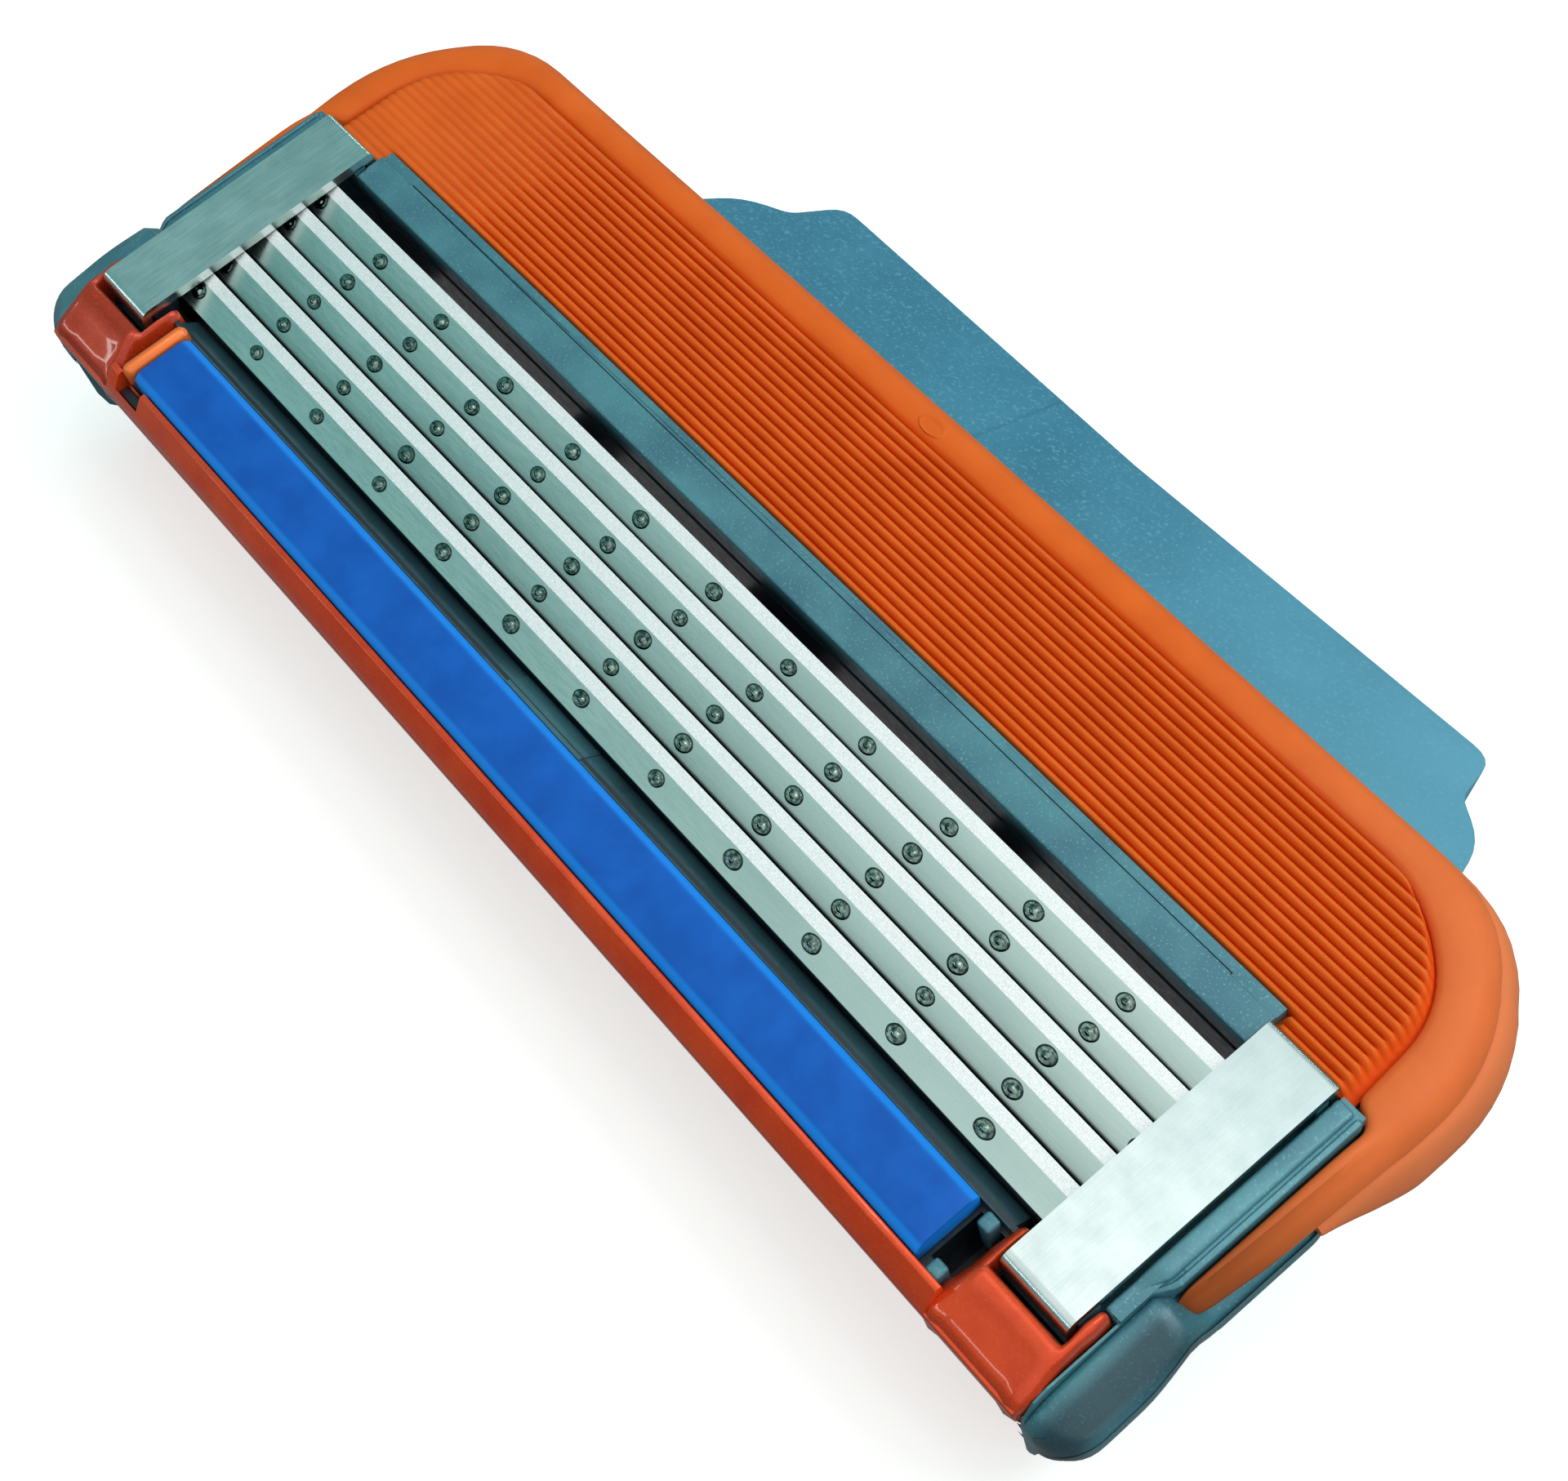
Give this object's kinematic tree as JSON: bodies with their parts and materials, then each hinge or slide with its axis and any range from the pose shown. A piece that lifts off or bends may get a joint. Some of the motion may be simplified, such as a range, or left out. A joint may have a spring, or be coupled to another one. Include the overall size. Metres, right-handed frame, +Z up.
{
  "type": "razor cartridge",
  "caption": "Disposable razor cartridge: pivoting head with floating blades, ribbed soft guard, lubricating strip and rear trimmer, on a connector that a handle docks into.",
  "frame": {"origin": "on the ground under the middle of the cartridge's box, as it stands on its trimmer edge and on the connector's underside", "axes": "+X along the blades, +Y level from the cap to the guard and out of the docking socket's mouth, +Z up; the shaving face is tilted 26 degrees"},
  "size_m": [0.0428, 0.024, 0.0115],
  "materials": {
    "housing_plastic": "satin moulded teal-grey plastic with a faint pearl fleck",
    "guard_rubber": "soft orange elastomer, matt, with fine ridges",
    "clip_metal": "bright folded strip with faint scratches along its length",
    "strip_polymer": "smooth blue water-soluble polymer, satin",
    "cover_lacquer": "glossy metallic red-orange",
    "blade_steel": "satin steel with a bright ground bevel",
    "support_steel": "rolled stainless strip",
    "connector_plastic": "matt blue-teal moulded plastic"
  },
  "bodies": {
    "connector": {"connector": "connector_plastic"},
    "head": {"housing": "housing_plastic", "guard_elastomer": "guard_rubber", "clip_left": "clip_metal", "clip_right": "clip_metal", "lubricating_strip": "strip_polymer", "trimmer_cover": "cover_lacquer", "trimmer_blade": "blade_steel", "trimmer_blade_support": "support_steel", "spring_finger_left_1": "housing_plastic", "spring_finger_right_1": "housing_plastic", "spring_finger_left_2": "housing_plastic", "spring_finger_right_2": "housing_plastic", "spring_finger_left_3": "housing_plastic", "spring_finger_right_3": "housing_plastic", "spring_finger_left_4": "housing_plastic", "spring_finger_right_4": "housing_plastic", "spring_finger_left_5": "housing_plastic", "spring_finger_right_5": "housing_plastic"},
    "blade_unit_1": {"blade_1": "blade_steel", "blade_support_1": "support_steel"},
    "blade_unit_2": {"blade_2": "blade_steel", "blade_support_2": "support_steel"},
    "blade_unit_3": {"blade_3": "blade_steel", "blade_support_3": "support_steel"},
    "blade_unit_4": {"blade_4": "blade_steel", "blade_support_4": "support_steel"},
    "blade_unit_5": {"blade_5": "blade_steel", "blade_support_5": "support_steel"}
  },
  "joints": [
    {"name": "head_pivot", "type": "hinge", "parent": "connector", "child": "head", "pos_m": [0, 0.00001, 0.00775], "axis": [1, 0, 0], "range_deg": [0, 45]},
    {"name": "blade_slide_1", "type": "slide", "parent": "head", "child": "blade_unit_1", "axis": [0, -0.4384, 0.8988], "range_m": [-0.0003, 0], "stiffness_N_per_m": 300, "springref_m": 0.0002, "deforming": ["spring_finger_left_1", "spring_finger_right_1"]},
    {"name": "blade_slide_2", "type": "slide", "parent": "head", "child": "blade_unit_2", "axis": [0, -0.4384, 0.8988], "range_m": [-0.0003, 0], "stiffness_N_per_m": 300, "springref_m": 0.0002, "deforming": ["spring_finger_left_2", "spring_finger_right_2"]},
    {"name": "blade_slide_3", "type": "slide", "parent": "head", "child": "blade_unit_3", "axis": [0, -0.4384, 0.8988], "range_m": [-0.0003, 0], "stiffness_N_per_m": 300, "springref_m": 0.0002, "deforming": ["spring_finger_left_3", "spring_finger_right_3"]},
    {"name": "blade_slide_4", "type": "slide", "parent": "head", "child": "blade_unit_4", "axis": [0, -0.4384, 0.8988], "range_m": [-0.0003, 0], "stiffness_N_per_m": 300, "springref_m": 0.0002, "deforming": ["spring_finger_left_4", "spring_finger_right_4"]},
    {"name": "blade_slide_5", "type": "slide", "parent": "head", "child": "blade_unit_5", "axis": [0, -0.4384, 0.8988], "range_m": [-0.0003, 0], "stiffness_N_per_m": 300, "springref_m": 0.0002, "deforming": ["spring_finger_left_5", "spring_finger_right_5"]}
  ]
}
